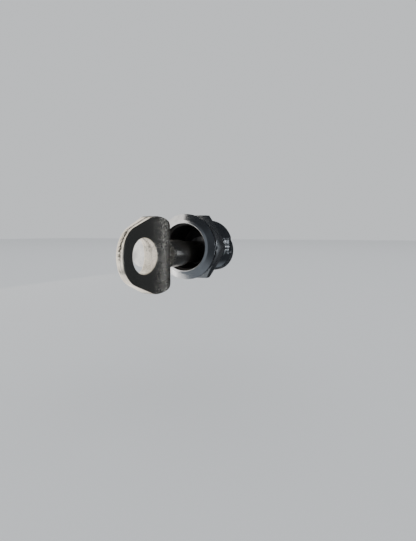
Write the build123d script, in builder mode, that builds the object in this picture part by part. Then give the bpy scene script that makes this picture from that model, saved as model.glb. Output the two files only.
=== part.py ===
"""Quarter-turn latch for a sheet-metal door, with its die-cast key.

Millimetres, +Z up. The origin is on the axis of the flange ring, in the plane of the
ring's rear face, which is the outer face of the door panel. +X is to the right seen from
the front, +Y goes into the cabinet, and the key's bow stands out towards -Y.
"""
from build123d import *
import os

# ---------------------------------------------------------------- driving dimensions
# flange ring and threaded body
thread_radius = 11.0             # M22 x 1.5, drawn at its major diameter
flange_radius = thread_radius + 2.0
flange_edge_height = 0.35        # short straight edge where the ring meets the panel
crease_radius = thread_radius - 0.5   # where the outer cone turns into the inner land
crease_height = 1.6
wall_thickness = 2.4             # of the threaded body round its recess
recess_radius = thread_radius - wall_thickness
lip_radius = recess_radius + 0.7  # opening of the ring
lip_height = 2.0
lip_wall_start = 0.6             # where the lip's bore narrows to the recess
lip_edge_radius = 0.25
recess_depth = 14.0              # from the panel's face to the floor of the recess
bearing_length = 8.0             # from the floor of the recess to the end of the body
thread_length = recess_depth + bearing_length
flat_depth = 0.7                 # of the two flats that stop the body turning in the panel
across_flats = 2 * (thread_radius - flat_depth)
body_chamfer = 0.8

# panel, gasket, lock washer and nut
panel_thickness = 1.5
gasket_depth = 0.45
gasket_inner_radius = thread_radius + 0.25
gasket_outer_radius = gasket_inner_radius + 0.85
lock_washer_thickness = 1.1
lock_washer_radius = thread_radius + 1.7
tooth_count = 16
tooth_depth = 1.1
tooth_gap = 1.0
nut_across_flats = 2 * (thread_radius + 1.5)
nut_thickness = 5.0
thread_clearance = 0.05

# spindle: sits a little below the ring's centre
spindle_drop = 2.15
shank_radius = 4.4               # of the key that reaches over the pin
pin_radius = 2.5
pin_tip_y = 2.0
pin_chamfer = 0.4
socket_wall = 1.0                # of the key's shank outside the bits
bit_reach = shank_radius - socket_wall
bit_thickness = 2.0
shoulder_clearance = 0.25        # under the shoulder, at the recess wall
shoulder_radius = recess_radius - spindle_drop - shoulder_clearance
shoulder_thickness = 1.4
shoulder_overlap = 1.0           # how far the shoulder covers the floor of the recess
journal_radius = shoulder_radius - shoulder_overlap
journal_clearance = 0.05
seal_groove_depth = 1.3
seal_groove_radius = journal_radius - seal_groove_depth
seal_groove_start = 1.6          # behind the floor of the recess
seal_groove_width = 1.8
square_inset = 0.25              # of the square's corners inside the journal
square_side = 2 ** 0.5 * (journal_radius - square_inset)
square_clearance = 0.05
screw_hole_depth = 9.0

# parts stacked on the square end of the spindle
wave_washer_thickness = 0.6
wave_washer_clearance = 0.1
wave_washer_radius = journal_radius + 0.8
stop_notch_radius = wave_washer_radius + 0.15
stop_post_inner_radius = wave_washer_radius + 0.35
stop_disc_radius = stop_post_inner_radius + 1.05
stop_disc_thickness = 1.8
stop_post_angle = 40.0
stop_post_overhang = 0.3
turn_angle = 90.0
stop_play_angle = 2.0
cam_length = 45.0
cam_width = 18.0
cam_thickness = 3.0
cam_tip_radius = 6.0
cam_clamp_gap = 0.2
washer_overlap = 1.5             # of the flat washer on the cam, beyond the square's sides
flat_washer_radius = square_side / 2 + washer_overlap
flat_washer_thickness = 1.0
spring_washer_radius = 4.6
spring_washer_thickness = 1.2
spring_washer_gap = 0.8
screw_radius = 2.5
screw_length = 10.0
screw_head_across_flats = 8.0
screw_head_height = 3.5
screw_clearance = 0.05
washer_clearance = 0.15

# key
shank_floor_gap = 0.3            # between the key's end and the spindle's shoulder
shank_chamfer = 0.3
collar_radius = shank_radius + 0.65
collar_front_y = -5.2            # end of the collar, just in front of the ring
collar_step_length = 0.9         # rounded step from the collar down to the shank
socket_clearance = 0.08
socket_end_gap = 0.5
hub_radius = collar_radius + 0.65
hub_length = 1.2
hub_depth = 1.1                  # how far the hub reaches into the bow
bow_end_y = -16.9                # end of the bow nearest to the panel
bow_length = 25.0
bow_height = 26.8
bow_tip_radius = 10.4
bow_corner_radius = 7.7
bow_tip_half_thickness = 1.47
bow_middle_half_thickness = 1.97  # at the hole's centre
bow_root_half_thickness = 2.97    # where the hole comes nearest to the shank
bow_ridge_half_thickness = 4.4
bow_ridge_distance = 3.4         # from the bow's end to its thickest line
bow_end_radius = 2.9
bow_hole_radius = 6.1
bow_hole_distance = 11.1         # from the bow's tip to the hole's centre

# ---------------------------------------------------------------- derived places
ring_axis = Axis((0, 0, 0), (0, 1, 0))
spindle_axis = Axis((0, 0, -spindle_drop), (0, 1, 0))
profile_plane = Plane.XY                              # half profiles turned about the ring's axis
spindle_profile_plane = Plane.XY.offset(-spindle_drop)  # and about the spindle's axis


def across_plane(y, z=0.0):
    """Plane facing +Y at depth y, its local x towards -X and its local y upwards."""
    return Plane(origin=(0, y, z), x_dir=(-1, 0, 0), z_dir=(0, 1, 0))


def ring_sector(inner_radius, outer_radius, start, sweep):
    """Draw the outline of a sector of a ring in the open line builder, angles in degrees."""
    outer_arc = CenterArc((0, 0), outer_radius, start, sweep)
    inner_arc = CenterArc((0, 0), inner_radius, start, sweep)
    Line(outer_arc @ 0, inner_arc @ 0)
    Line(outer_arc @ 1, inner_arc @ 1)


shoulder_y = recess_depth - shoulder_thickness
seal_groove_y = recess_depth + seal_groove_start
wave_washer_y = thread_length
stop_disc_y = wave_washer_y + wave_washer_thickness
cam_y = stop_disc_y + stop_disc_thickness
cam_back_y = cam_y + cam_thickness
spindle_end_y = cam_back_y - cam_clamp_gap
flat_washer_y = cam_back_y
spring_washer_y = flat_washer_y + flat_washer_thickness
screw_head_y = spring_washer_y + spring_washer_thickness
lock_washer_y = panel_thickness
nut_y = lock_washer_y + lock_washer_thickness
hex_to_corner = 2 / 3 ** 0.5                          # half width across flats to corner radius

# ---------------------------------------------------------------- housing
with BuildPart() as housing:
    with BuildSketch(profile_plane):
        with BuildLine():
            Polyline(
                (recess_radius, recess_depth),
                (recess_radius, 0.0),
                (lip_radius, -lip_wall_start),
                (lip_radius, -lip_height),
                (crease_radius, -crease_height),
                (flange_radius, -flange_edge_height),
                (flange_radius, 0.0),
                (gasket_outer_radius, 0.0),
                (gasket_outer_radius, -gasket_depth),
                (gasket_inner_radius, -gasket_depth),
                (gasket_inner_radius, 0.0),
                (thread_radius, 0.0),
                (thread_radius, thread_length - body_chamfer),
                (thread_radius - body_chamfer, thread_length),
                (0.0, thread_length),
                (0.0, recess_depth),
                close=True,
            )
        make_face()
    revolve(axis=ring_axis)
    lip_edges = housing.edges().filter_by(GeomType.CIRCLE)
    fillet(lip_edges.filter_by(lambda e: abs(e.center().Y + lip_height) < 0.01), lip_edge_radius)
    # the spindle's bore, below the ring's centre
    with BuildSketch(across_plane(recess_depth, -spindle_drop)):
        Circle(journal_radius + journal_clearance)
    extrude(amount=thread_length - recess_depth, mode=Mode.SUBTRACT)
    # the two flats
    with BuildSketch(across_plane(0.0)):
        with Locations((thread_radius, 0), (-thread_radius, 0)):
            Rectangle(2 * (thread_radius - across_flats / 2), 2 * thread_radius)
    extrude(amount=thread_length, mode=Mode.SUBTRACT)
    # the post that the stop disc runs against
    with BuildSketch(across_plane(thread_length, -spindle_drop)):
        post_start = 180 - stop_post_angle / 2
        with BuildLine():
            ring_sector(stop_post_inner_radius, stop_disc_radius, post_start, stop_post_angle)
        make_face()
    extrude(amount=cam_y - thread_length - stop_post_overhang)

# ---------------------------------------------------------------- gasket, lock washer, nut
with BuildPart() as gasket:
    with BuildSketch(across_plane(-gasket_depth)):
        Circle(gasket_outer_radius)
        Circle(gasket_inner_radius, mode=Mode.SUBTRACT)
    extrude(amount=gasket_depth)

with BuildPart() as lock_washer:
    with BuildSketch(across_plane(lock_washer_y)):
        Circle(lock_washer_radius)
        Circle(thread_radius + thread_clearance, mode=Mode.SUBTRACT)
        with PolarLocations(lock_washer_radius, tooth_count):
            Rectangle(2 * tooth_depth, tooth_gap, mode=Mode.SUBTRACT)
    extrude(amount=lock_washer_thickness)

with BuildPart() as mounting_nut:
    with BuildSketch(across_plane(nut_y)):
        RegularPolygon(nut_across_flats / 2 * hex_to_corner, 6)
        Circle(thread_radius + thread_clearance, mode=Mode.SUBTRACT)
    extrude(amount=nut_thickness)
    # the corners are turned off at 30 degrees on both faces
    corner_radius = nut_across_flats / 2 * hex_to_corner
    corner_drop = (corner_radius - nut_across_flats / 2) / 3 ** 0.5
    with BuildSketch(profile_plane):
        with BuildLine():
            Polyline(
                (0.0, nut_y),
                (nut_across_flats / 2, nut_y),
                (corner_radius, nut_y + corner_drop),
                (corner_radius, nut_y + nut_thickness - corner_drop),
                (nut_across_flats / 2, nut_y + nut_thickness),
                (0.0, nut_y + nut_thickness),
                close=True,
            )
        make_face()
    revolve(axis=ring_axis, mode=Mode.INTERSECT)

# ---------------------------------------------------------------- spindle and its seal
with BuildPart() as spindle:
    with BuildSketch(spindle_profile_plane):
        with BuildLine():
            Polyline(
                (0.0, pin_tip_y),
                (pin_radius - pin_chamfer, pin_tip_y),
                (pin_radius, pin_tip_y + pin_chamfer),
                (pin_radius, shoulder_y),
                (shoulder_radius, shoulder_y),
                (shoulder_radius, recess_depth),
                (journal_radius, recess_depth),
                (journal_radius, seal_groove_y),
                (seal_groove_radius, seal_groove_y),
                (seal_groove_radius, seal_groove_y + seal_groove_width),
                (journal_radius, seal_groove_y + seal_groove_width),
                (journal_radius, thread_length),
                (0.0, thread_length),
                close=True,
            )
        make_face()
    revolve(axis=spindle_axis)
    # the two bits, above and below the pin
    with BuildSketch(across_plane(pin_tip_y + pin_chamfer, -spindle_drop)):
        Rectangle(bit_thickness, 2 * bit_reach)
    extrude(amount=shoulder_y - pin_tip_y - pin_chamfer)
    with BuildSketch(across_plane(thread_length, -spindle_drop)):
        Rectangle(square_side, square_side)
    extrude(amount=spindle_end_y - thread_length)
    with BuildSketch(across_plane(spindle_end_y - screw_hole_depth, -spindle_drop)):
        Circle(screw_radius + screw_clearance)
    extrude(amount=screw_hole_depth, mode=Mode.SUBTRACT)

with BuildPart() as spindle_seal:
    seal_section_radius = (journal_radius - seal_groove_radius) / 2
    with BuildSketch(spindle_profile_plane):
        with Locations((seal_groove_radius + seal_section_radius, seal_groove_y + seal_groove_width / 2)):
            Circle(seal_section_radius)
    revolve(axis=spindle_axis)

# ---------------------------------------------------------------- stack behind the housing
square_hole = square_side + 2 * square_clearance

with BuildPart() as wave_washer:
    with BuildSketch(across_plane(wave_washer_y, -spindle_drop)):
        Circle(wave_washer_radius)
        Circle(journal_radius + wave_washer_clearance, mode=Mode.SUBTRACT)
    extrude(amount=wave_washer_thickness)

with BuildPart() as stop_disc:
    # the notch lets the disc make its quarter turn, clockwise seen from the front, past the post
    notch_angle = stop_post_angle + turn_angle + 2 * stop_play_angle
    notch_start = 180 - stop_post_angle / 2 - stop_play_angle - turn_angle
    with BuildSketch(across_plane(stop_disc_y, -spindle_drop)):
        Circle(stop_disc_radius)
        with BuildLine():
            ring_sector(stop_notch_radius, stop_disc_radius + 2.0, notch_start, notch_angle)
        make_face(mode=Mode.SUBTRACT)
        Rectangle(square_hole, square_hole, mode=Mode.SUBTRACT)
    extrude(amount=stop_disc_thickness)

with BuildPart() as cam:
    with BuildSketch(across_plane(cam_y, -spindle_drop)):
        Circle(cam_width / 2)
        with Locations((cam_length / 2, 0)):
            Rectangle(cam_length, cam_width)
        Rectangle(square_hole, square_hole, mode=Mode.SUBTRACT)
    extrude(amount=cam_thickness)
    fillet(cam.edges().filter_by(Axis.Y).group_by(Axis.X)[0], cam_tip_radius)

with BuildPart() as cam_washer:
    with BuildSketch(across_plane(flat_washer_y, -spindle_drop)):
        Circle(flat_washer_radius)
        Circle(screw_radius + washer_clearance, mode=Mode.SUBTRACT)
    extrude(amount=flat_washer_thickness)

with BuildPart() as spring_washer:
    with BuildSketch(across_plane(spring_washer_y, -spindle_drop)):
        Circle(spring_washer_radius)
        Circle(screw_radius + washer_clearance, mode=Mode.SUBTRACT)
        with Locations((0, spring_washer_radius)):
            Rectangle(spring_washer_gap, 2 * spring_washer_radius - 2 * screw_radius, mode=Mode.SUBTRACT)
    extrude(amount=spring_washer_thickness)

with BuildPart() as cam_screw:
    with BuildSketch(across_plane(screw_head_y, -spindle_drop)):
        RegularPolygon(screw_head_across_flats / 2 * hex_to_corner, 6)
    extrude(amount=screw_head_height)
    with BuildSketch(across_plane(screw_head_y - screw_length, -spindle_drop)):
        Circle(screw_radius)
    extrude(amount=screw_length)

# ---------------------------------------------------------------- key
key_side_plane = Plane(origin=(0, 0, -spindle_drop), x_dir=(0, 1, 0), z_dir=(1, 0, 0))
key_tip_y = bow_end_y - bow_length
shank_end_y = shoulder_y - shank_floor_gap
socket_start_y = pin_tip_y - socket_end_gap

with BuildPart() as key:
    # side outline of the bow: a round tip and two round corners, joined by tangents
    corner_y = bow_end_y - bow_corner_radius
    corner_z = bow_height / 2 - bow_corner_radius
    with BuildSketch(key_side_plane):
        with Locations((key_tip_y + bow_tip_radius, 0)):
            Circle(bow_tip_radius)
        with Locations((corner_y, corner_z), (corner_y, -corner_z)):
            Circle(bow_corner_radius)
        make_hull()
    extrude(amount=2 * bow_ridge_half_thickness, both=True)
    # plan of the bow: thin at its tip, flaring to a ridge, and rounded over at its end
    ridge_y = bow_end_y - bow_ridge_distance
    hole_y = key_tip_y + bow_hole_distance
    with BuildSketch(spindle_profile_plane):
        with BuildLine():
            tip_edge = Line((0.0, key_tip_y - 1), (bow_tip_half_thickness, key_tip_y - 1))
            thin_side = Line(tip_edge @ 1, (bow_tip_half_thickness, hole_y - bow_hole_radius))
            flare = Spline(
                thin_side @ 1,
                (bow_middle_half_thickness, hole_y),
                (bow_root_half_thickness, hole_y + bow_hole_radius),
                (bow_ridge_half_thickness, ridge_y),
                tangents=[(0, 1), (0.2, 1)],
            )
            round_over = Spline(
                flare @ 1,
                (bow_ridge_half_thickness - 0.45 * bow_end_radius, bow_end_y - 0.18 * bow_end_radius),
                (bow_ridge_half_thickness - bow_end_radius, bow_end_y),
                tangents=[(0.2, 1), (-1, 0)],
            )
            end_edge = Line(round_over @ 1, (0.0, bow_end_y))
            Line(end_edge @ 1, tip_edge @ 0)
        make_face()
        mirror(about=Plane.YZ)
    extrude(amount=bow_height, both=True, mode=Mode.INTERSECT)
    # hub, collar and shank, turned about the spindle's axis
    with BuildSketch(spindle_profile_plane):
        with BuildLine():
            Polyline(
                (0.0, bow_end_y - hub_depth),
                (hub_radius, bow_end_y - hub_depth),
                (hub_radius, bow_end_y - 0.2),
                (collar_radius, bow_end_y + hub_length),
                (collar_radius, collar_front_y),
                (shank_radius, collar_front_y + collar_step_length),
                (shank_radius, shank_end_y - shank_chamfer),
                (shank_radius - shank_chamfer, shank_end_y),
                (0.0, shank_end_y),
                close=True,
            )
        make_face()
    revolve(axis=spindle_axis)
    # socket for the pin and its two bits
    with BuildSketch(across_plane(socket_start_y, -spindle_drop)):
        Circle(pin_radius + socket_clearance)
        Rectangle(bit_thickness + 2 * socket_clearance, 2 * (bit_reach + socket_clearance))
    extrude(amount=shank_end_y - socket_start_y, mode=Mode.SUBTRACT)
    # round hole through the bow
    with BuildSketch(key_side_plane):
        with Locations((hole_y, 0)):
            Circle(bow_hole_radius)
    extrude(amount=2 * bow_ridge_half_thickness, both=True, mode=Mode.SUBTRACT)

# ---------------------------------------------------------------- one file per piece
pieces = {
    "housing": housing,
    "gasket": gasket,
    "lock_washer": lock_washer,
    "mounting_nut": mounting_nut,
    "spindle": spindle,
    "spindle_seal": spindle_seal,
    "wave_washer": wave_washer,
    "stop_disc": stop_disc,
    "cam": cam,
    "cam_washer": cam_washer,
    "spring_washer": spring_washer,
    "cam_screw": cam_screw,
    "key": key,
}
os.makedirs("parts", exist_ok=True)
for piece_name, piece in pieces.items():
    piece.part.label = piece_name
    export_step(piece.part, f"parts/{piece_name}.step")
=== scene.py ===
# %% [markdown]
# # A quarter-turn latch with its key
# This lesson gives a small piece of door hardware its real surfaces: a chromed ring with a
# threaded body behind it, a spindle that carries a cam, and a die-cast key with a holed bow.
# The measured model is loaded first and is never moved. Every shape made here sits on it.

# %% Load the measured model
import math
import bmesh
import bpy
import numpy as np
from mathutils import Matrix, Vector, noise


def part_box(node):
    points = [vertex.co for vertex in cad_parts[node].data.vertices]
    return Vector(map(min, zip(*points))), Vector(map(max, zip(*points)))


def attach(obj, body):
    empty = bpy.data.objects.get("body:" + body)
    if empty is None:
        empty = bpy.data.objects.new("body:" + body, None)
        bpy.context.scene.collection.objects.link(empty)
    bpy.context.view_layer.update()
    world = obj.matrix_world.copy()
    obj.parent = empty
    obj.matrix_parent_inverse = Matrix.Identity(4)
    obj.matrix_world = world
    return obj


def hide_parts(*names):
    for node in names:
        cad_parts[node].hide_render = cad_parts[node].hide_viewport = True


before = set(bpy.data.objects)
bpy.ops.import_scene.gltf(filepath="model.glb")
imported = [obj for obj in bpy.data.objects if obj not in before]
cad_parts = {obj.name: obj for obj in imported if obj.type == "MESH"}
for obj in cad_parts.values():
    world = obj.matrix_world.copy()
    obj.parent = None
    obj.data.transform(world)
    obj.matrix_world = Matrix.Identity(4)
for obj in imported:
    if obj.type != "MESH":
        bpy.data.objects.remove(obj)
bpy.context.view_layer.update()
MM = 0.001

# %% [markdown]
# ## Camera
# A latch is looked at from close by, a little to the right of its axis, so the thin end of the
# bow comes towards the lens and looks large. The distance, the bearing and the lens set that
# perspective. A tracking constraint could aim the camera, but a quaternion made from the
# viewing direction stays put when other views are made, so that is used.

# %% Camera
LENS_MM = 27.9
CAMERA_DISTANCE = 167.3 * MM
CAMERA_BEARING = math.radians(29.4)
CAMERA_HEIGHT_ANGLE = math.radians(1.9)
AIM = Vector((9.79, 0.0, -9.03)) * MM

camera = bpy.data.objects.new("camera", bpy.data.cameras.new("camera"))
bpy.context.scene.collection.objects.link(camera)
camera.data.lens = LENS_MM
camera.location = CAMERA_DISTANCE * Vector((
    math.sin(CAMERA_BEARING) * math.cos(CAMERA_HEIGHT_ANGLE),
    -math.cos(CAMERA_BEARING) * math.cos(CAMERA_HEIGHT_ANGLE),
    math.sin(CAMERA_HEIGHT_ANGLE),
))
camera.rotation_mode = "QUATERNION"
camera.rotation_quaternion = (AIM - camera.location).to_track_quat("-Z", "Y")
camera.data.clip_start = 0.01
bpy.context.scene.camera = camera
print("camera at", [round(v, 3) for v in camera.location])

# %% [markdown]
# ## Floor, backdrop and light
# Polished metal has hardly any colour of its own: it shows what stands round it. One big warm
# wall of light at the left makes the bright rim and the white sweep on the ring. The room is
# kept dark in reflections, grey only in front, while everything else sees a pale studio. A ray
# test in the world's shader makes that split; a real studio does it with black flags. The
# shaping lights act on reflections only, so the floor stays even.

# %% Floor
FLOOR_Z = -62 * MM
FLOOR_HALF = 4.0


def new_object(name, mesh):
    """Links a mesh as an object and returns it."""
    piece = bpy.data.objects.new(name, mesh)
    bpy.context.scene.collection.objects.link(piece)
    return piece


def mesh_from(name, points, faces):
    """A smooth-shaded mesh from points in metres and lists of corner numbers."""
    mesh = bpy.data.meshes.new(name)
    mesh.from_pydata([tuple(p) for p in points], [], faces)
    mesh.polygons.foreach_set("use_smooth", [True] * len(mesh.polygons))
    mesh.update()
    return mesh


corners = [(x * FLOOR_HALF, y * FLOOR_HALF, FLOOR_Z) for x, y in ((-1, -1), (1, -1), (1, 1), (-1, 1))]
floor = new_object("floor", mesh_from("floor", corners, [(0, 1, 2, 3)]))

floor_paint = bpy.data.materials.new("floor_paint")
floor_paint.use_nodes = True
paint = floor_paint.node_tree.nodes["Principled BSDF"]
paint.inputs["Base Color"].default_value = (0.86, 0.87, 0.88, 1)
paint.inputs["Roughness"].default_value = 0.9
paint.inputs["Specular IOR Level"].default_value = 0.1
floor.data.materials.append(floor_paint)
floor.visible_glossy = False
floor.visible_shadow = False
print("floor at", FLOOR_Z / MM, "mm")

# %% World: a pale studio that metal sees as a dark room
PALE_STUDIO = (0.72, 0.74, 0.76, 1)
DARK_STUDIO = (0.022, 0.025, 0.029, 1)
FRONT_OF_ROOM = (0.22, 0.24, 0.26, 1)

world = bpy.data.worlds.new("studio")
bpy.context.scene.world = world
world.use_nodes = True
tree = world.node_tree
tree.nodes.clear()
seen = tree.nodes.new("ShaderNodeBackground")
seen.inputs["Color"].default_value = PALE_STUDIO
mirrored = tree.nodes.new("ShaderNodeBackground")
direction = tree.nodes.new("ShaderNodeSeparateXYZ")
tree.links.new(tree.nodes.new("ShaderNodeTexCoord").outputs["Generated"], direction.inputs[0])
print("world started")


# %% World: ramps over the direction of a ray
def ramp(value, low, high):
    """Nought at low, rising smoothly to one at high; high may be the smaller number."""
    node = tree.nodes.new("ShaderNodeMapRange")
    node.interpolation_type = "SMOOTHSTEP"
    node.inputs["From Min"].default_value = low
    node.inputs["From Max"].default_value = high
    tree.links.new(value, node.inputs["Value"])
    return node.outputs["Result"]


def product(first, second):
    """The product of two sockets."""
    node = tree.nodes.new("ShaderNodeMath")
    node.operation = "MULTIPLY"
    tree.links.new(first, node.inputs[0])
    tree.links.new(second, node.inputs[1])
    return node.outputs[0]


print("ramps ready")

# %% World: the two rooms joined
# the reflected room is grey in front of the latch, but dark above, behind and round the camera;
# each pair is the part of a unit direction where the grey starts and where it is full
GREY_FORWARDS, GREY_UPWARDS, GREY_RIGHTWARDS = (0.0, -0.5), (0.60, 0.10), (0.52, 0.14)
# a colour Mix node's inputs and output go by number, because its other kinds share their names
MIX_FIRST, MIX_SECOND, MIX_RESULT = 6, 7, 2
in_front = product(ramp(direction.outputs["Y"], *GREY_FORWARDS), ramp(direction.outputs["Z"], *GREY_UPWARDS))
grey_part = product(in_front, ramp(direction.outputs["X"], *GREY_RIGHTWARDS))
room = tree.nodes.new("ShaderNodeMix")
room.data_type = "RGBA"
room.inputs[MIX_FIRST].default_value = DARK_STUDIO
room.inputs[MIX_SECOND].default_value = FRONT_OF_ROOM
tree.links.new(grey_part, room.inputs["Factor"])
tree.links.new(room.outputs[MIX_RESULT], mirrored.inputs["Color"])
rays = tree.nodes.new("ShaderNodeLightPath")
either = tree.nodes.new("ShaderNodeMixShader")
world_out = tree.nodes.new("ShaderNodeOutputWorld")
tree.links.new(rays.outputs["Is Glossy Ray"], either.inputs["Fac"])
tree.links.new(seen.outputs[0], either.inputs[1])
tree.links.new(mirrored.outputs[0], either.inputs[2])
tree.links.new(either.outputs[0], world_out.inputs["Surface"])
print("world:", len(tree.nodes), "nodes")


# %% Softboxes
def softbox(name, place, target, size, power, colour):
    """A rectangular area light that only reflections see, at place and facing target."""
    light = bpy.data.lights.new(name, "AREA")
    light.shape = "RECTANGLE"
    light.size, light.size_y = size
    light.energy = power
    light.color = colour
    box = bpy.data.objects.new(name, light)
    bpy.context.scene.collection.objects.link(box)
    box.location = place
    box.rotation_euler = (Vector(target) - Vector(place)).to_track_quat("-Z", "Y").to_euler()
    box.visible_camera = False
    box.visible_diffuse = False
    return box


softbox("left_wall", (-0.37, -0.165, 0.10), (0, -0.165, 0.10), (1.17, 0.92), 6.2, (1.0, 0.94, 0.85))
softbox("bounce_card", (-0.26, 0.065, -0.40), (0, 0, 0), (0.57, 0.32), 0.9, (1.0, 0.95, 0.88))
softbox("right_strip", (0.50, -0.10, -0.01), (0, -0.02, 0), (0.05, 0.30), 0.26, (0.92, 0.96, 1.0))
# the ceiling does the opposite: it lights the floor and no reflection sees it
ceiling = softbox("ceiling", (0, 0.2, 1.5), (0, 0.2, 0), (3.0, 3.0), 6.0, (0.97, 0.98, 1.0))
ceiling.visible_diffuse = True
ceiling.visible_glossy = False

# %% [markdown]
# ## Grain, handling marks and scratches as node groups
# A bead-blasted casting, a zinc plate and a turned ring all need fine irregularity, each at its
# own scale. Rather than copy nodes from material to material, each effect is a group with named
# inputs and outputs. The groups give only heights, masks, colours and roughness values; the
# shader stays in the material, where its fixed numbers are set on its own sockets.


# %% A helper that starts a node group
def start_group(name, inputs, outputs):
    """A shader node group with the named sockets; returns the tree, its inlet and outlet."""
    group = bpy.data.node_groups.new(name, "ShaderNodeTree")
    kinds = {"float": "NodeSocketFloat", "colour": "NodeSocketColor", "vector": "NodeSocketVector"}
    for socket, kind, value in inputs:
        made = group.interface.new_socket(socket, in_out="INPUT", socket_type=kinds[kind])
        if value is not None:
            made.default_value = value
    for socket, kind in outputs:
        group.interface.new_socket(socket, in_out="OUTPUT", socket_type=kinds[kind])
    inlet = group.nodes.new("NodeGroupInput")
    outlet = group.nodes.new("NodeGroupOutput")
    return group, inlet, outlet


print("group starter ready")


# %% Helpers for the nodes inside a group or a material
def feed(tree, socket, value):
    """Links an output to a socket, or sets the socket to a plain number or colour."""
    if hasattr(value, "is_output"):
        tree.links.new(value, socket)
    else:
        socket.default_value = value


def noise_node(tree, vector, scale, detail, rough):
    """A noise texture; scale may be a number or a socket."""
    node = tree.nodes.new("ShaderNodeTexNoise")
    node.inputs["Detail"].default_value = detail
    node.inputs["Roughness"].default_value = rough
    tree.links.new(vector, node.inputs["Vector"])
    feed(tree, node.inputs["Scale"], scale)
    return node.outputs["Fac"]


def remap(tree, value, low, high, to_low=0.0, to_high=1.0):
    """A clamped map range node."""
    node = tree.nodes.new("ShaderNodeMapRange")
    node.inputs["From Min"].default_value = low
    node.inputs["From Max"].default_value = high
    node.inputs["To Min"].default_value = to_low
    node.inputs["To Max"].default_value = to_high
    tree.links.new(value, node.inputs["Value"])
    return node.outputs["Result"]


def maths(tree, operation, first, second):
    """A maths node of two sockets or numbers."""
    node = tree.nodes.new("ShaderNodeMath")
    node.operation = operation
    feed(tree, node.inputs[0], first)
    feed(tree, node.inputs[1], second)
    return node.outputs[0]


def blend(tree, mask, first, second):
    """A colour mix of two sockets or colours."""
    node = tree.nodes.new("ShaderNodeMix")
    node.data_type = "RGBA"
    tree.links.new(mask, node.inputs["Factor"])
    feed(tree, node.inputs[MIX_FIRST], first)
    feed(tree, node.inputs[MIX_SECOND], second)
    return node.outputs[MIX_RESULT]


print("node helpers ready")

# %% Group: blasted grain
grain, inlet, outlet = start_group(
    "blasted grain",
    [("Place", "vector", None), ("Grain size", "float", 2500.0), ("Pits", "float", 0.5)],
    [("Height", "float"), ("Speckle", "float")],
)
fine = noise_node(grain, inlet.outputs["Place"], inlet.outputs["Grain size"], 3.0, 0.6)
cells = grain.nodes.new("ShaderNodeTexVoronoi")
grain.links.new(inlet.outputs["Place"], cells.inputs["Vector"])
grain.links.new(inlet.outputs["Grain size"], cells.inputs["Scale"])
pits = remap(grain, cells.outputs["Distance"], 0.05, 0.45)
weighted = maths(grain, "MULTIPLY", pits, inlet.outputs["Pits"])
grain.links.new(maths(grain, "ADD", fine, weighted), outlet.inputs["Height"])
grain.links.new(remap(grain, fine, 0.44, 0.56), outlet.inputs["Speckle"])
print("blasted grain:", len(grain.nodes), "nodes")

# %% Group: handling marks
marks, inlet, outlet = start_group(
    "handling marks",
    [("Place", "vector", None), ("Smudge size", "float", 120.0), ("Clean", "colour", (1, 1, 1, 1)),
     ("Dull", "colour", (0.5, 0.5, 0.5, 1)), ("Smooth", "float", 0.2), ("Rough", "float", 0.4)],
    [("Colour", "colour"), ("Roughness", "float")],
)
cloud = noise_node(marks, inlet.outputs["Place"], inlet.outputs["Smudge size"], 4.0, 0.55)
mask = remap(marks, cloud, 0.38, 0.66)
marks.links.new(blend(marks, mask, inlet.outputs["Clean"], inlet.outputs["Dull"]), outlet.inputs["Colour"])
span = maths(marks, "SUBTRACT", inlet.outputs["Rough"], inlet.outputs["Smooth"])
rising = maths(marks, "MULTIPLY", span, mask)
marks.links.new(maths(marks, "ADD", rising, inlet.outputs["Smooth"]), outlet.inputs["Roughness"])
print("handling marks:", len(marks.nodes), "nodes")

# %% Group: hairline scratches
hairlines, inlet, outlet = start_group(
    "hairline scratches",
    [("Place", "vector", None), ("Stretch", "vector", (40.0, 1200.0, 40.0)), ("Sparseness", "float", 0.62)],
    [("Height", "float")],
)
stretched = hairlines.nodes.new("ShaderNodeVectorMath")
stretched.operation = "MULTIPLY"
hairlines.links.new(inlet.outputs["Place"], stretched.inputs[0])
hairlines.links.new(inlet.outputs["Stretch"], stretched.inputs[1])
lines = noise_node(hairlines, stretched.outputs[0], 6.0, 2.0, 0.5)
over = maths(hairlines, "SUBTRACT", lines, inlet.outputs["Sparseness"])
hairlines.links.new(remap(hairlines, over, 0.0, 0.08), outlet.inputs["Height"])
print("hairline scratches:", len(hairlines.nodes), "nodes")

# %% [markdown]
# ## Finishes
# Each finish is one function's worth of nodes: a Principled shader, the handling marks for its
# colour and roughness, and a bump from grain or scratches. Bare metals keep Metallic at one; the
# recess, painted nearly black as painted shade for the shade deep in the bore, has less and rubber
# none. What sets nickel from chrome is warmth and roughness: nickel on a blasted casting is soft
# and yellowish, chrome on a turned ring is cold and almost a mirror.


# %% Helpers for finishes
def use_group(tree, group, place, values):
    """Places a group in a material, fed with the point in the object's own space."""
    node = tree.nodes.new("ShaderNodeGroup")
    node.node_tree = group
    node.label = group.name
    tree.links.new(place, node.inputs["Place"])
    for name, value in values.items():
        node.inputs[name].default_value = value
    return node


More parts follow.
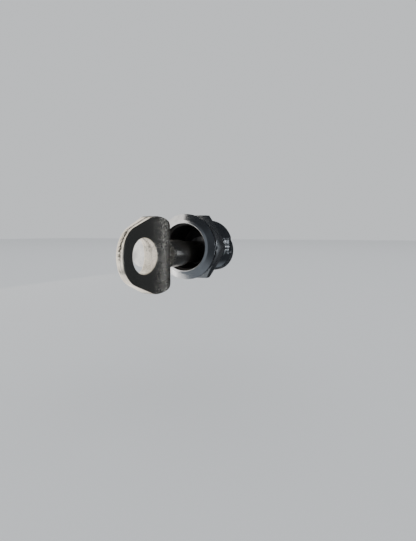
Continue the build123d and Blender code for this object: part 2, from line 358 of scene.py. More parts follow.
def finish(name, clean, dull, smooth, rough, smudge, metallic=1.0, grain_size=None, bump=0.0, pits=0.5,
           stretch=None):
    """A material with handling marks and, if asked for, grain or hairlines as bump."""
    material = bpy.data.materials.new(name)
    material.use_nodes = True
    tree = material.node_tree
    shader = tree.nodes["Principled BSDF"]
    shader.inputs["Metallic"].default_value = metallic
    place = tree.nodes.new("ShaderNodeTexCoord").outputs["Object"]
    touched = use_group(tree, marks, place, {
        "Smudge size": smudge, "Clean": (*clean, 1), "Dull": (*dull, 1), "Smooth": smooth, "Rough": rough})
    tree.links.new(touched.outputs["Colour"], shader.inputs["Base Color"])
    tree.links.new(touched.outputs["Roughness"], shader.inputs["Roughness"])
    if grain_size:
        source = use_group(tree, grain, place, {"Grain size": grain_size, "Pits": pits}).outputs["Height"]
    elif stretch:
        source = use_group(tree, hairlines, place, {"Stretch": stretch}).outputs["Height"]
    if grain_size or stretch:
        relief = tree.nodes.new("ShaderNodeBump")
        relief.inputs["Strength"].default_value = 1.0
        relief.inputs["Distance"].default_value = bump
        tree.links.new(source, relief.inputs["Height"])
        tree.links.new(relief.outputs["Normal"], shader.inputs["Normal"])
    return material


print("finish helpers ready")

# %% Chrome, zinc, steel and rubber
chrome = finish("chrome_plate", (0.54, 0.56, 0.59), (0.44, 0.46, 0.49), 0.13, 0.22, 260.0,
                stretch=(300.0, 60.0, 300.0), bump=0.000002)
# the recess and the bore are painted nearly black: painted shade for the shade that falls deep inside them,
# not a finish of the metal
painted_shade_recess = finish("recess_painted_shade", (0.030, 0.030, 0.032), (0.016, 0.016, 0.018), 0.42, 0.62, 300.0,
                     grain_size=1800.0, bump=0.00003, metallic=0.6)
zinc_plate = finish("zinc_plate", (0.60, 0.61, 0.62), (0.47, 0.48, 0.50), 0.20, 0.38, 180.0,
                    stretch=(260.0, 40.0, 900.0), bump=0.000008)
# dark zinc is the stop post's finish; on the spindle it is also painted shade
dark_zinc = finish("dark_zinc", (0.16, 0.16, 0.165), (0.09, 0.09, 0.095), 0.36, 0.55, 320.0,
                   grain_size=2200.0, bump=0.00003)
spring_steel = finish("spring_steel", (0.30, 0.30, 0.31), (0.16, 0.15, 0.15), 0.22, 0.42, 400.0,
                      stretch=(500.0, 80.0, 500.0), bump=0.000006)
rubber = finish("moulded_rubber", (0.020, 0.020, 0.021), (0.036, 0.036, 0.036), 0.55, 0.78, 350.0,
                grain_size=3000.0, bump=0.00002, metallic=0.0)
finishes = (chrome, painted_shade_recess, zinc_plate, dark_zinc, spring_steel, rubber)
print("finishes made:", ", ".join(material.name for material in finishes))

# %% [markdown]
# ## Turned and stamped pieces as lofted loops
# A turned body, a nut and a cam are all closed loops of points stacked along the latch's axis,
# with the last loop joined to the first. One helper lofts such loops. A lathe tool or a screw
# modifier would make the round pieces, but not the nut's corners or the body's flats, and the
# loops let a thread, a flat and a rounded edge be plain arithmetic on the points.

# %% Sizes read from the measured model
FLANGE_OVERHANG = 2.0


def box_mm(node):
    """Lowest and highest corner of a measured node, in mm, to a hundredth."""
    low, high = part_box(node)
    return np.round(np.array(low) / MM, 2), np.round(np.array(high) / MM, 2)


housing_high = box_mm("housing")[1]
wave_low, wave_high = box_mm("wave_washer")
key_low, key_high = box_mm("key")
SPINDLE_Z = round((wave_low[2] + wave_high[2]) / 2, 2) * MM
FLANGE_RADIUS = housing_high[0]
BODY_RADIUS = FLANGE_RADIUS - FLANGE_OVERHANG
BODY_END = wave_low[1]
print("ring radius", FLANGE_RADIUS, "body radius", BODY_RADIUS, "spindle at", round(SPINDLE_Z / MM, 2), "mm")


# %% Lofting loops of points
SHARP_ANGLE = math.radians(35)
MERGE_DISTANCE = 0.0005 * MM


def loft(name, loops, zones=None):
    """Joins equal loops of points into a closed tube of faces; zones gives a material number per gap."""
    count, size = len(loops), len(loops[0])
    faces, numbers = [], []
    for i in range(count):
        following = (i + 1) % count
        for j in range(size):
            k = (j + 1) % size
            faces.append((i * size + j, i * size + k, following * size + k, following * size + j))
            numbers.append(zones[i] if zones else 0)
    mesh = mesh_from(name, np.concatenate(loops), faces)
    mesh.polygons.foreach_set("material_index", numbers)
    shaped = bmesh.new()
    shaped.from_mesh(mesh)
    bmesh.ops.remove_doubles(shaped, verts=shaped.verts, dist=MERGE_DISTANCE)
    bmesh.ops.recalc_face_normals(shaped, faces=shaped.faces)
    shaped.to_mesh(mesh)
    shaped.free()
    mesh.set_sharp_from_angle(angle=SHARP_ANGLE)
    return mesh


def rounded_profile(profile, steps=5, hold=0.04, share=0.45):
    """Stations (radius, depth, shift, zone) in mm along a profile whose corners are rounded.

    share is the most of a side that one corner's rounding takes, and hold is the width in mm of
    the strip beside it that keeps the side's shading flat.
    """
    stations = []
    for before, corner, after in zip(profile[-1:] + profile[:-1], profile, profile[1:] + profile[:1]):
        radius, depth, rounding, shift, zone = corner
        here = np.array((radius, depth))
        if rounding <= 0:
            stations.append((radius, depth, shift, zone))
            continue
        back = np.array(before[:2]) - here
        ahead = np.array(after[:2]) - here
        reach = min(rounding, share * np.linalg.norm(back), share * np.linalg.norm(ahead))
        start = here + back / np.linalg.norm(back) * reach
        end = here + ahead / np.linalg.norm(ahead) * reach
        stations.append((*(start + back / np.linalg.norm(back) * hold), shift, before[4]))
        for t in np.linspace(0, 1, steps + 1):
            point = (1 - t) ** 2 * start + 2 * t * (1 - t) * here + t ** 2 * end
            stations.append((*point, shift, zone if t > 0.5 else before[4]))
        stations.append((*(end + ahead / np.linalg.norm(ahead) * hold), shift, zone))
    return stations


print("loft helpers ready")

# %% [markdown]
# ## Housing: flange ring, recess and threaded body
# The ring has an outer cone that meets a flatter inner land at a crease, and a softly rounded
# lip. Behind the door the body carries a real helical thread, cut away by two flats. The thread
# is a saw-tooth of the angle plus the depth, so it climbs one pitch for each turn.

# %% Housing: sizes
# DARK marks the stations of the recess and the bore, which take the painted shade
CHROME, DARK = 0, 1
RING_SEGMENTS = 240
THREAD_PITCH, THREAD_DEPTH = 1.5, 0.82
THREAD_START, THREAD_END = 1.2, BODY_END - 1.0
LOOPS_PER_PITCH = 10
# a groove's share of its full depth: the peak, cut off at one, and the fall per pitch beside it
GROOVE_PEAK, GROOVE_SLOPE = 1.25, 2.5
BODY_CHAMFER = 0.8
FLAT_DEPTH = 0.7
HALF_FLATS = BODY_RADIUS - FLAT_DEPTH
WALL = 2.4
RECESS_RADIUS = BODY_RADIUS - WALL
LIP_SLOPE = 0.7
LIP_RADIUS, LIP_HEIGHT = RECESS_RADIUS + LIP_SLOPE, 2.0
LIP_WALL_START = 0.6
CREASE_RADIUS, CREASE_HEIGHT = BODY_RADIUS - 0.5, 1.62
RING_EDGE_HEIGHT = 0.33
SHOULDER_AND_GAP = 1.7
RECESS_FLOOR = key_high[1] + SHOULDER_AND_GAP
SEAL_CLEARANCE = 0.05
BORE_RADIUS = box_mm("spindle_seal")[1][0] + SEAL_CLEARANCE
GROOVE_FRONT = box_mm("gasket")[0][1]
GROOVE_OUTER = box_mm("gasket")[1][0]
GROOVE_INNER = BODY_RADIUS + 0.25
print("recess radius", round(RECESS_RADIUS, 2), "mm, floor at", round(RECESS_FLOOR, 2), "mm")

# %% Housing: profile and loops
# radius, depth, rounding, 1.0 where the loop is centred on the spindle, and finish
front_profile = [
    (BORE_RADIUS, RECESS_FLOOR, 0.2, 1.0, DARK),
    (RECESS_RADIUS, RECESS_FLOOR, 0.5, 0.0, DARK),
    (RECESS_RADIUS, 0.0, 0.15, 0.0, DARK),
    (LIP_RADIUS, -LIP_WALL_START, 0.15, 0.0, DARK),
    (LIP_RADIUS, -LIP_HEIGHT, 0.32, 0.0, CHROME),
    (CREASE_RADIUS, -CREASE_HEIGHT, 0.16, 0.0, CHROME),
    (FLANGE_RADIUS, -RING_EDGE_HEIGHT, 0.16, 0.0, CHROME),
    (FLANGE_RADIUS, 0.0, 0.06, 0.0, CHROME),
    (GROOVE_OUTER, 0.0, 0.0, 0.0, CHROME),
    (GROOVE_OUTER, GROOVE_FRONT, 0.0, 0.0, CHROME),
    (GROOVE_INNER, GROOVE_FRONT, 0.0, 0.0, CHROME),
    (GROOVE_INNER, 0.0, 0.0, 0.0, CHROME),
    (BODY_RADIUS, 0.0, 0.0, 0.0, CHROME),
    (BODY_RADIUS, BODY_END - BODY_CHAMFER, 0.0, 0.0, CHROME),
    (BODY_RADIUS - BODY_CHAMFER, BODY_END, 0.15, 0.0, CHROME),
    (BORE_RADIUS, BODY_END, 0.15, 1.0, DARK),
]
turn = np.linspace(0, 2 * math.pi, RING_SEGMENTS, endpoint=False)
across, up = np.cos(turn), np.sin(turn)


def thread_loops():
    """Loops of the helical thread between its start and its end."""
    loops = []
    for depth in np.arange(THREAD_START, THREAD_END, THREAD_PITCH / LOOPS_PER_PITCH):
        phase = (depth / THREAD_PITCH + turn / (2 * math.pi)) % 1.0
        groove = np.clip(GROOVE_PEAK - GROOVE_SLOPE * np.abs(phase - 0.5), 0.0, 1.0)
        fade = min(1.0, (depth - THREAD_START) / THREAD_PITCH, (THREAD_END - depth) / THREAD_PITCH)
        radius = BODY_RADIUS - THREAD_DEPTH * fade * groove
        loops.append(np.stack([radius * across, np.full_like(radius, depth), radius * up], -1))
    return loops


def ring_loop(radius, depth, shift):
    """One round loop; shift moves it down to the spindle's axis."""
    drop = shift * SPINDLE_Z / MM
    return np.stack([radius * across, np.full_like(across, depth), radius * up + drop], -1)


housing_loops, housing_zones = [], []
for radius, depth, shift, zone in rounded_profile(front_profile):
    housing_loops.append(ring_loop(radius, depth, shift))
    housing_zones.append(zone)
    if radius == BODY_RADIUS and depth == 0.0:
        housing_loops += thread_loops()
        housing_zones += [CHROME] * (len(housing_loops) - len(housing_zones))
print("housing loops:", len(housing_loops))

# %% Housing: flats and mesh
FLATS_FROM = RECESS_RADIUS + 0.5
ROUND_OFF = 0.001
for loop in housing_loops:
    from_axis = np.hypot(loop[:, 0], loop[:, 2])
    on_body = (loop[:, 1] >= 0.0) & (from_axis > FLATS_FROM) & (from_axis <= BODY_RADIUS + ROUND_OFF)
    loop[on_body, 0] = np.clip(loop[on_body, 0], -HALF_FLATS, HALF_FLATS)

housing_mesh = loft("housing_turned", [loop * MM for loop in housing_loops], housing_zones)
housing = new_object("housing_turned", housing_mesh)
housing.data.materials.append(chrome)
# the second material is the painted shade inside the recess and the bore
housing.data.materials.append(painted_shade_recess)
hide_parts("housing")
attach(housing, "latch_body")
print("housing:", len(housing_mesh.polygons), "faces")

# %% Stop post, cast on the back of the housing
POST_OUTER = -box_mm("stop_disc")[0][0]
POST_THICKNESS = 1.05
POST_INNER = POST_OUTER - POST_THICKNESS
POST_END = housing_high[1]
POST_HALF_ANGLE = math.radians(20)
POST_STEPS = 13
POST_ROOT, POST_EDGE = 0.2, 0.15
ROOT_INSET, TOP_INSET = 0.96, 0.93
sweep = np.linspace(-POST_HALF_ANGLE, POST_HALF_ANGLE, POST_STEPS)
back_sweep = np.linspace(POST_HALF_ANGLE, -POST_HALF_ANGLE, POST_STEPS)
post_outline = [(POST_OUTER, a) for a in sweep] + [(POST_INNER, a) for a in back_sweep]
outline = np.array([(r * math.cos(a), r * math.sin(a)) for r, a in post_outline])
middle = outline.mean(axis=0)
post_loops = []
for depth, inset in ((BODY_END - POST_ROOT, ROOT_INSET), (BODY_END - POST_ROOT, 1.0),
                     (POST_END - POST_EDGE, 1.0), (POST_END, TOP_INSET)):
    flat = middle + (outline - middle) * inset
    post_loops.append(np.stack([flat[:, 0], np.full(len(flat), depth), flat[:, 1] + SPINDLE_Z / MM], -1) * MM)
ends = [np.repeat(loop.mean(axis=0)[None], len(loop), 0) for loop in (post_loops[0], post_loops[-1])]
post = new_object("stop_post", loft("stop_post", [ends[0], *post_loops, ends[1]]))
post.data.materials.append(dark_zinc)
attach(post, "latch_body")
print("stop post from", round(BODY_END - POST_ROOT, 2), "to", POST_END, "mm")

# %% [markdown]
# ## Key
# The key is a casting: every edge is soft, the collar flows into the bow, and a ragged line
# runs where the two halves of the mould met. Rounding each edge by hand would take many
# fillets that meet badly at the collar. Instead the measured solid is rebuilt as an even skin
# of small squares, and smoothing then rounds all its edges alike, as casting does.

# %% Key casting from the measured solid
KEY_VOXEL = 0.17 * MM
KEY_SMOOTHING = 9
TIP_Y = key_low[1] * MM
BOW_END_Y = TIP_Y + 25.0 * MM
HOLE_Y, HOLE_RADIUS = TIP_Y + 11.1 * MM, 6.1 * MM


def even_skin(name, node, voxel, smoothing):
    """A copy of a measured node, remeshed evenly and smoothed, as a new mesh."""
    rough = new_object("rough_copy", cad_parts[node].data.copy())
    rough.matrix_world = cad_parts[node].matrix_world
    weld = rough.modifiers.new("weld", "WELD")
    weld.merge_threshold = 0.001 * MM
    skin = rough.modifiers.new("skin", "REMESH")
    skin.mode = "VOXEL"
    skin.voxel_size = voxel
    soften = rough.modifiers.new("soften", "SMOOTH")
    soften.factor = 0.5
    soften.iterations = smoothing
    bpy.context.view_layer.update()
    evaluated = rough.evaluated_get(bpy.context.evaluated_depsgraph_get())
    mesh = bpy.data.meshes.new_from_object(evaluated)
    mesh.transform(rough.matrix_world)
    mesh.name = name
    bpy.data.objects.remove(rough)
    return mesh


key_mesh = even_skin("key_casting", "key", KEY_VOXEL, KEY_SMOOTHING)
print("key skin:", len(key_mesh.vertices), "points")

# %% [markdown]
# ## Fair flanks
# The real bow swells in one smooth curve from its thin end to its ridge. The measured mesh has
# flat facets there, and a polished surface shows each facet as a step in brightness. More
# smoothing would blunt the ridge as well, so one smooth curve is fitted to the half thickness
# along the bow and the flanks are moved sideways onto it, fading out at both ends.

# %% Fairing the flanks of the bow
FAIR_START, FAIR_END = TIP_Y + 4.6 * MM, BOW_END_Y - 4.2 * MM
FAIR_BLEND = 1.5 * MM
BIN_WIDTH = 0.25 * MM
FLANK_FACING = 0.85
HOLE_EDGE = 0.6 * MM
CURVE_DEGREE = 7


def vertex_values(mesh, name):
    """The positions or normals of a mesh's vertices as rows."""
    values = np.empty(len(mesh.vertices) * 3)
    mesh.vertices.foreach_get(name, values)
    return values.reshape(-1, 3)


points, normals = vertex_values(key_mesh, "co"), vertex_values(key_mesh, "normal")
x, y, z = points.T
on_flank = (np.abs(normals[:, 0]) > FLANK_FACING) & (y > FAIR_START) & (y < FAIR_END)
on_flank &= np.hypot(y - HOLE_Y, z - SPINDLE_Z) > HOLE_RADIUS + HOLE_EDGE
# half the thickness along the bow, as it is in flat facets, and as one smooth curve
bins = np.arange(FAIR_START + BIN_WIDTH, FAIR_END - BIN_WIDTH, BIN_WIDTH)
facets = [np.median(np.abs(x[on_flank & (np.abs(y - centre) < BIN_WIDTH)])) for centre in bins]
curve = np.polynomial.Polynomial.fit(y[on_flank] / MM, np.abs(x[on_flank]) / MM, CURVE_DEGREE)
weight = np.clip((y - FAIR_START) / FAIR_BLEND, 0, 1) * np.clip((FAIR_END - y) / FAIR_BLEND, 0, 1)
in_range = weight > 0
ratio = curve(y[in_range] / MM) * MM / np.interp(y[in_range], bins, facets)
widening = 1 + weight[in_range] * (ratio - 1)
largest_move = np.abs(points[in_range, 0] * (widening - 1)).max()
points[in_range, 0] *= widening
key_mesh.vertices.foreach_set("co", points.ravel())
print("largest sideways move, mm:", round(float(largest_move) / MM, 3))

# %% [markdown]
# ## Parting line
# The two halves of a mould leave a thin line of flash where they met, and trimming leaves it
# ragged. A bump texture would not change the outline, so the squares near the mould's plane are
# divided and the line is raised in the mesh, with noise for its raggedness. The flare of the
# bow is hollowed in the same pass.

# %% Parting line: finer squares and a ragged raised edge
FLASH_HALF_WIDTH = 0.16 * MM
FLASH_HEIGHT = 0.13 * MM
LINE_REACH = 0.45 * MM
EDGE_FACING = 0.6
LINE_END_Y = -3 * MM
HOLE_MARGIN = 0.8 * MM
# noise is counted per metre, so 900 makes features about a millimetre long
COARSE_NOISE, FINE_NOISE, WANDER_NOISE = 900.0, 2600.0, 300.0
WANDER = 0.05 * MM
UPPER_FROM = SPINDLE_Z - 1.5 * MM
LOWER_SHARE = 0.25
FLARE_HOLLOW, FLARE_Y, FLARE_REACH = 0.075, BOW_END_Y - 6.1 * MM, 1.7 * MM


def on_parting_line(point, normal):
    """True near the mould's parting plane, on the outer edge of the key but not in its hole."""
    if abs(point.x) > LINE_REACH or abs(normal.x) > EDGE_FACING or point.y > LINE_END_Y:
        return False
    return math.hypot(point.y - HOLE_Y, point.z - SPINDLE_Z) > HOLE_RADIUS + HOLE_MARGIN


casting = bmesh.new()
casting.from_mesh(key_mesh)
casting.normal_update()
near = [e for e in casting.edges if all(on_parting_line(v.co, v.normal) for v in e.verts)]
bmesh.ops.subdivide_edges(casting, edges=near, cuts=2, use_grid_fill=True)
casting.normal_update()
for vertex in casting.verts:
    # the flare is hollowed just before the ridge, so the ridge stands up crisply
    vertex.co.x *= 1 - FLARE_HOLLOW * math.exp(-((vertex.co.y - FLARE_Y) / FLARE_REACH) ** 2)
    point, normal = vertex.co.copy(), vertex.normal.copy()
    if not on_parting_line(point, normal):
        continue
    ragged = noise.noise(point * COARSE_NOISE) + 0.5 * noise.noise(point * FINE_NOISE)
    left_on = 1.0 if point.z > UPPER_FROM else LOWER_SHARE
    wander = WANDER * noise.noise(point * WANDER_NOISE)
    profile = math.exp(-((point.x - wander) / FLASH_HALF_WIDTH) ** 2)
    height = FLASH_HEIGHT * left_on * max(0.0, 0.55 + 0.8 * ragged)
    vertex.co = point + normal * height * profile
casting.to_mesh(key_mesh)
casting.free()
key_mesh.polygons.foreach_set("use_smooth", [True] * len(key_mesh.polygons))
key_mesh.update()
key = new_object("key_casting", key_mesh)
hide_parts("key")
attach(key, "key_body")
print("key casting:", len(key_mesh.polygons), "faces")

# %% [markdown]
# ## Satin nickel
# Plating copies the casting below it. The thin end of the bow was polished by fingers and is
# nearly smooth; towards the thick ridge the blasted grain is left. Masks made from the point's
# place on the key carry that change, so they stay with the key when it turns or is pulled out.

# %% Satin nickel: plating and grain
NICKEL_CLEAN, NICKEL_DULL = (0.66, 0.63, 0.57), (0.60, 0.57, 0.52)
GRAIN_MEAN = 0.9
GRAIN_AT_TIP, GRAIN_ON_SHANK = 0.03, 0.15
nickel = finish("satin_nickel", NICKEL_CLEAN, NICKEL_DULL, 0.21, 0.25, 420.0,
                grain_size=3200.0, bump=0.00014, pits=0.6)
tree = nickel.node_tree
shader = tree.nodes["Principled BSDF"]
place = next(n for n in tree.nodes if n.type == "TEX_COORD").outputs["Object"]
split = tree.nodes.new("ShaderNodeSeparateXYZ")
tree.links.new(place, split.inputs[0])
# grain grows from the middle of the bow to its ridge, and is faint again on the shank
growing = remap(tree, split.outputs["Y"], HOLE_Y + 1 * MM, BOW_END_Y - 4 * MM, GRAIN_AT_TIP, 1.0)
fading = remap(tree, split.outputs["Y"], BOW_END_Y - 1 * MM, BOW_END_Y + 1 * MM, 1.0, GRAIN_ON_SHANK)
grain_share = maths(tree, "MULTIPLY", growing, fading)
relief = next(n for n in tree.nodes if n.type == "BUMP")
grain_height = relief.inputs["Height"].links[0].from_socket
# the grain is counted from its mean, so fading it in doesn't tilt the surface
from_mean = maths(tree, "SUBTRACT", grain_height, GRAIN_MEAN)
tree.links.new(maths(tree, "MULTIPLY", from_mean, grain_share), relief.inputs["Height"])
print("grain on the key:", len(tree.nodes), "nodes so far")

# %% Satin nickel: trimmed parting line
TORN_METAL = (0.010, 0.009, 0.008, 1)
LINE_FULL, LINE_GONE = 0.35 * MM, 0.90 * MM
# the trimmed line is dark where the flash was broken off
ragged = noise_node(tree, place, 1500.0, 3.0, 0.7)
distance = maths(tree, "ABSOLUTE", split.outputs["X"], 0.0)
line = remap(tree, distance, LINE_FULL, LINE_GONE, 1.0, 0.0)
torn = maths(tree, "MULTIPLY", line, remap(tree, ragged, 0.42, 0.53))
upper_side = remap(tree, split.outputs["Z"], SPINDLE_Z - 2 * MM, SPINDLE_Z + 1 * MM)
on_thin_end = remap(tree, split.outputs["Y"], TIP_Y + 19 * MM, TIP_Y + 14 * MM)
torn = maths(tree, "MULTIPLY", maths(tree, "MULTIPLY", torn, upper_side), on_thin_end)
base = shader.inputs["Base Color"].links[0].from_socket
tree.links.new(blend(tree, torn, base, TORN_METAL), shader.inputs["Base Color"])
print("parting line darkened")

# %% Satin nickel: dirt in the grain
GRAIN_DIRT = (0.10, 0.095, 0.085, 1)
DIRT_STRENGTH, DIRT_POWER = 0.6, 2.0
EXTRA_ROUGHNESS = 0.05
# dirt darkens some of the grains, so bright and dark ones lie side by side towards the ridge
speckle = next(n for n in tree.nodes if n.label == "blasted grain").outputs["Speckle"]
flat_place = tree.nodes.new("ShaderNodeCombineXYZ")
tree.links.new(split.outputs["Y"], flat_place.inputs["Y"])
tree.links.new(split.outputs["Z"], flat_place.inputs["Z"])
from_hole = tree.nodes.new("ShaderNodeVectorMath")
from_hole.operation = "DISTANCE"
from_hole.inputs[1].default_value = (0.0, HOLE_Y, SPINDLE_Z)
tree.links.new(flat_place.outputs[0], from_hole.inputs[0])
beside_hole = remap(tree, from_hole.outputs["Value"], HOLE_RADIUS + 0.3 * MM, HOLE_RADIUS + 1.2 * MM)
dirty = maths(tree, "MULTIPLY", speckle, maths(tree, "POWER", grain_share, DIRT_POWER))
darker = maths(tree, "MULTIPLY", maths(tree, "MULTIPLY", dirty, beside_hole), DIRT_STRENGTH)
base = shader.inputs["Base Color"].links[0].from_socket
tree.links.new(blend(tree, darker, base, GRAIN_DIRT), shader.inputs["Base Color"])
touched = shader.inputs["Roughness"].links[0].from_socket
rougher = maths(tree, "MULTIPLY", grain_share, EXTRA_ROUGHNESS)
tree.links.new(maths(tree, "ADD", touched, rougher), shader.inputs["Roughness"])
key.data.materials.clear()
key.data.materials.append(nickel)
print("satin nickel:", len(tree.nodes), "nodes")

# %% [markdown]
# ## Nut, washers, cam and screw
# These are stamped and turned steel, most of them zinc plated. The outlines of the plates are
# star-shaped about the axis, so an inner loop can be cast from each towards the centre. A small
# bevel runs along the edges of the cam and the flat washer, because a stamped edge that is
# perfectly sharp looks like a drawing.


# %% Outlines
def normals_of(points):
    """Outward unit normals of a closed outline."""
    along = np.roll(points, -1, 0) - np.roll(points, 1, 0)
    normal = np.stack([along[:, 1], -along[:, 0]], -1)
    normal /= np.linalg.norm(normal, axis=1)[:, None]
    return normal * np.sign((normal * points).sum(1).mean())


def placed(points, depth, centre_z):
    """Outline points in mm put at a depth, in metres."""
    depths = np.broadcast_to(depth, len(points))
    return np.stack([points[:, 0], depths, points[:, 1] + centre_z / MM], -1) * MM


print("outline helpers ready")


# %% Plates, polygons and turned corners
def plate(name, outline, hole, front, back, bevel, centre_z):
    """A flat piece between two depths in mm; hole gives the inner radius for an angle."""
    outline = np.array(outline)
    angle = np.arctan2(outline[:, 1], outline[:, 0])
    ray = np.stack([np.cos(angle), np.sin(angle)], -1)
    inner = ray * np.array([hole(a) for a in angle])[:, None]
    inset = outline - normals_of(outline) * bevel
    wide = inner + ray * bevel
    loops = [(wide, front), (inset, front), (outline, front + bevel), (outline, back - bevel),
             (inset, back), (wide, back), (inner, back - bevel), (inner, front + bevel)]
    return loft(name, [placed(p, d, centre_z) for p, d in loops])


def polygon_outline(sides, flat_radius, per_side):
    """Points along a regular polygon, flat_radius being half its width across flats."""
    turns = np.linspace(0, 2 * math.pi, sides * per_side, endpoint=False)
    step = 2 * math.pi / sides
    radius = flat_radius / np.cos(turns % step - step / 2)
    return np.stack([radius * np.cos(turns), radius * np.sin(turns)], -1)


def round_loop(outline, radius):
    """The outline's points pulled onto a circle."""
    return outline / np.hypot(*outline.T)[:, None] * radius


def turned_corners(outline, flat_radius, share):
    """How far each point drops at 30 degrees outside a share of the flat radius, and the face inside."""
    reach = np.hypot(*outline.T)
    drop = np.maximum(reach - flat_radius * share, 0.0) * math.tan(math.radians(30))
    return drop, outline * (np.minimum(reach, flat_radius * share) / reach)[:, None]


def square_hole(half, corner=1.36):
    """Inner radius of a square hole whose corners are cut at a multiple of its half width."""
    return lambda a: min(half / max(abs(math.cos(a)), abs(math.sin(a))), half * corner)


print("plate helpers ready")


# %% Handing a piece over
def add_piece(name, mesh, material, body, node):
    """Links a made piece, gives it its finish, and lets it stand for a measured node."""
    piece = new_object(name, mesh)
    piece.data.materials.append(material)
    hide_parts(node)
    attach(piece, body)
    return piece


print("piece helper ready")

# %% Mounting nut with turned-off corners
nut_low, nut_high = box_mm("mounting_nut")
NUT_FLAT_RADIUS, NUT_FRONT, NUT_BACK = nut_high[2], nut_low[1], nut_high[1]
THREAD_CLEARANCE = 0.05
NUT_BORE = BODY_RADIUS + THREAD_CLEARANCE
NUT_FACE_SHARE, BORE_CHAMFER = 0.985, 0.5
hexagon = polygon_outline(6, NUT_FLAT_RADIUS, per_side=24)
turned_off, face_ring = turned_corners(hexagon, NUT_FLAT_RADIUS, NUT_FACE_SHARE)
bore_ring = round_loop(hexagon, NUT_BORE)
bore_wide = round_loop(hexagon, NUT_BORE + BORE_CHAMFER)
nut_loops = [
    (bore_wide, NUT_FRONT), (face_ring, NUT_FRONT), (hexagon, NUT_FRONT + turned_off),
    (hexagon, NUT_BACK - turned_off), (face_ring, NUT_BACK), (bore_wide, NUT_BACK),
    (bore_ring, NUT_BACK - BORE_CHAMFER), (bore_ring, NUT_FRONT + BORE_CHAMFER),
]
nut_mesh = loft("hex_nut", [placed(points, depth, 0.0) for points, depth in nut_loops])
add_piece("hex_nut", nut_mesh, zinc_plate, "latch_body", "mounting_nut")
print("nut:", round(2 * NUT_FLAT_RADIUS, 2), "mm across flats")

# %% Toothed lock washer with twisted teeth
TEETH, POINTS_PER_TOOTH = 16, 14
TOOTH_LENGTH, TOOTH_GAP, TOOTH_TWIST = 0.9, 0.14, 0.75
TIP_INSET, ROOT_SHARE = 0.04, 0.995
HALF_SHEET = 0.26
toothed_low, toothed_high = box_mm("lock_washer")
TOOTH_TIP = toothed_high[0] - TIP_INSET
TOOTH_ROOT = TOOTH_TIP - TOOTH_LENGTH
turns = np.linspace(0, 2 * math.pi, TEETH * POINTS_PER_TOOTH, endpoint=False)
along_tooth = (turns * TEETH / (2 * math.pi)) % 1.0
is_tooth = (along_tooth > TOOTH_GAP) & (along_tooth < 1 - TOOTH_GAP)
tooth_radius = np.where(is_tooth, TOOTH_TIP, TOOTH_ROOT)
twist = np.where(is_tooth, (along_tooth - 0.5) * TOOTH_TWIST, 0.0)
edge = np.stack([tooth_radius * np.cos(turns), tooth_radius * np.sin(turns)], -1)
hub = np.stack([NUT_BORE * np.cos(turns), NUT_BORE * np.sin(turns)], -1)
root = np.stack([TOOTH_ROOT * np.cos(turns), TOOTH_ROOT * np.sin(turns)], -1) * ROOT_SHARE
middle_depth = (toothed_low[1] + toothed_high[1]) / 2
front, back = middle_depth - HALF_SHEET, middle_depth + HALF_SHEET
washer_loops = [(hub, front), (root, front), (edge, front + twist), (edge, back + twist), (root, back),
                (hub, back)]
washer_mesh = loft("toothed_washer", [placed(points, depth, 0.0) for points, depth in washer_loops])
add_piece("toothed_washer", washer_mesh, zinc_plate, "latch_body", "lock_washer")
print("toothed washer:", TEETH, "teeth")

# %% Cam
cam_low, cam_high = box_mm("cam")
CAM_FRONT, CAM_BACK = cam_low[1], cam_high[1]
CAM_REACH, CAM_HALF, CAM_CORNER = -cam_low[0], (cam_high[2] - cam_low[2]) / 2, 6.0
CAM_BEVEL = 0.25
HALF_SQUARE = 3.55


def arc(centre_x, centre_z, radius, first, last, count):
    """Points of an arc, angles in degrees."""
    return [(centre_x + radius * math.cos(a), centre_z + radius * math.sin(a))
            for a in np.radians(np.linspace(first, last, count))]


cam_outline = arc(0, 0, CAM_HALF, -90, 90, 49)
cam_outline += [(x, CAM_HALF) for x in np.linspace(0, CAM_CORNER - CAM_REACH, 40)[1:-1]]
cam_outline += arc(CAM_CORNER - CAM_REACH, CAM_HALF - CAM_CORNER, CAM_CORNER, 90, 180, 15)
cam_outline += arc(CAM_CORNER - CAM_REACH, CAM_CORNER - CAM_HALF, CAM_CORNER, 180, 270, 15)
cam_outline += [(x, -CAM_HALF) for x in np.linspace(CAM_CORNER - CAM_REACH, 0, 40)[1:-1]]
cam_mesh = plate("cam_plate", cam_outline, square_hole(HALF_SQUARE), CAM_FRONT, CAM_BACK,
                 CAM_BEVEL, SPINDLE_Z)
add_piece("cam_plate", cam_mesh, zinc_plate, "spindle_body", "cam")
print("cam reaches", CAM_REACH, "mm from the spindle")

# %% Flat washer
washer_low, washer_high = box_mm("cam_washer")
WASHER_RADIUS, WASHER_BACK = -washer_low[0], washer_high[1]
WASHER_BORE, WASHER_BEVEL = 2.65, 0.12
round_outline = polygon_outline(96, WASHER_RADIUS, per_side=1)
flat_mesh = plate("flat_washer", round_outline, lambda a: WASHER_BORE, CAM_BACK, WASHER_BACK,
                  WASHER_BEVEL, SPINDLE_Z)
add_piece("flat_washer", flat_mesh, zinc_plate, "spindle_body", "cam_washer")
print("flat washer radius", WASHER_RADIUS, "mm")

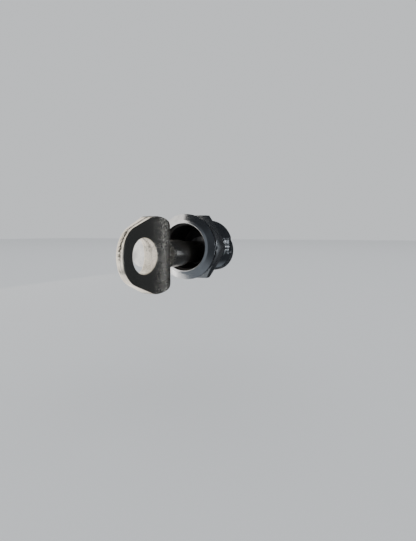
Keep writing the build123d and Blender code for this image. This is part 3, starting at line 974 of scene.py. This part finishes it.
# %% Split washer, one square section swept up a short helix
split_high = box_mm("spring_washer")[1]
SPLIT_BACK = split_high[1]
SPLIT_INNER, SPLIT_OUTER, SPLIT_SHEET = WASHER_BORE, split_high[0] - 0.05, 1.0
SPLIT_FROM, SPLIT_TURN, SPLIT_STEPS = 96, 348, 88
SPLIT_RISE = SPLIT_BACK - WASHER_BACK - SPLIT_SHEET
sections = []
for a in np.linspace(math.radians(SPLIT_FROM), math.radians(SPLIT_FROM + SPLIT_TURN), SPLIT_STEPS):
    climb = (a - math.radians(SPLIT_FROM)) / math.radians(SPLIT_TURN) * SPLIT_RISE
    low = WASHER_BACK + climb
    square = [(SPLIT_INNER, low), (SPLIT_OUTER, low),
              (SPLIT_OUTER, low + SPLIT_SHEET), (SPLIT_INNER, low + SPLIT_SHEET)]
    sections.append([(r * math.cos(a), d, r * math.sin(a) + SPINDLE_Z / MM) for r, d in square])
points = [tuple(v * MM for v in p) for section in sections for p in section]
faces = [(i * 4 + j, i * 4 + (j + 1) % 4, i * 4 + 4 + (j + 1) % 4, i * 4 + 4 + j)
         for i in range(len(sections) - 1) for j in range(4)]
faces += [(3, 2, 1, 0), tuple(len(points) - 4 + j for j in range(4))]
split_mesh = mesh_from("split_washer", points, faces)
split_mesh.set_sharp_from_angle(angle=SHARP_ANGLE)
add_piece("split_washer", split_mesh, spring_steel, "spindle_body", "spring_washer")
print("split washer:", len(sections), "sections")

# %% Hexagon screw, lofted from its tip to the dished top of its head
screw_low, screw_high = box_mm("cam_screw")
HEAD_FLAT_RADIUS, SCREW_BACK = (screw_high[2] - screw_low[2]) / 2, screw_high[1]
SCREW_RADIUS, SCREW_TIP = 2.5, screw_low[1]
TIP_SHARE, TIP_LENGTH = 0.8, 0.5
HEAD_SHARE, HEAD_EDGE = 0.97, 0.1
DISH_EDGE, DISH_FLOOR, DISH_DEPTH = 0.6, 0.55, 0.25
head = polygon_outline(6, HEAD_FLAT_RADIUS, per_side=16)
chamfered, top_ring = turned_corners(head, HEAD_FLAT_RADIUS, HEAD_SHARE)
shank = round_loop(head, SCREW_RADIUS)
screw_loops = [
    (head * 0.0, SCREW_TIP), (shank * TIP_SHARE, SCREW_TIP), (shank, SCREW_TIP + TIP_LENGTH),
    (shank, SPLIT_BACK), (head * HEAD_SHARE, SPLIT_BACK), (head, SPLIT_BACK + HEAD_EDGE),
    (head, SCREW_BACK - chamfered), (top_ring, SCREW_BACK), (top_ring * DISH_EDGE, SCREW_BACK),
    (top_ring * DISH_FLOOR, SCREW_BACK - DISH_DEPTH), (head * 0.0, SCREW_BACK - DISH_DEPTH),
]
screw_mesh = loft("hex_screw", [placed(points, depth, SPINDLE_Z) for points, depth in screw_loops])
add_piece("hex_screw", screw_mesh, zinc_plate, "spindle_body", "cam_screw")
print("screw:", round(2 * HEAD_FLAT_RADIUS, 2), "mm across flats")

# %% [markdown]
# ## Measured nodes that stay
# The spindle, its seal, the gasket and the stop disc already have their true shape, and the wave
# washer is drawn pressed flat. They stay as they are and only take a finish.

# %% Finishes for the measured nodes
# the spindle's dark zinc is partly its own finish and partly painted shade, for its front in the shade behind
# the key
for node, material in (("spindle", dark_zinc), ("stop_disc", zinc_plate), ("wave_washer", spring_steel),
                       ("gasket", rubber), ("spindle_seal", rubber)):
    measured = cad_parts[node]
    measured.data.materials.clear()
    measured.data.materials.append(material)
print("measured nodes keep their shape and take a finish")
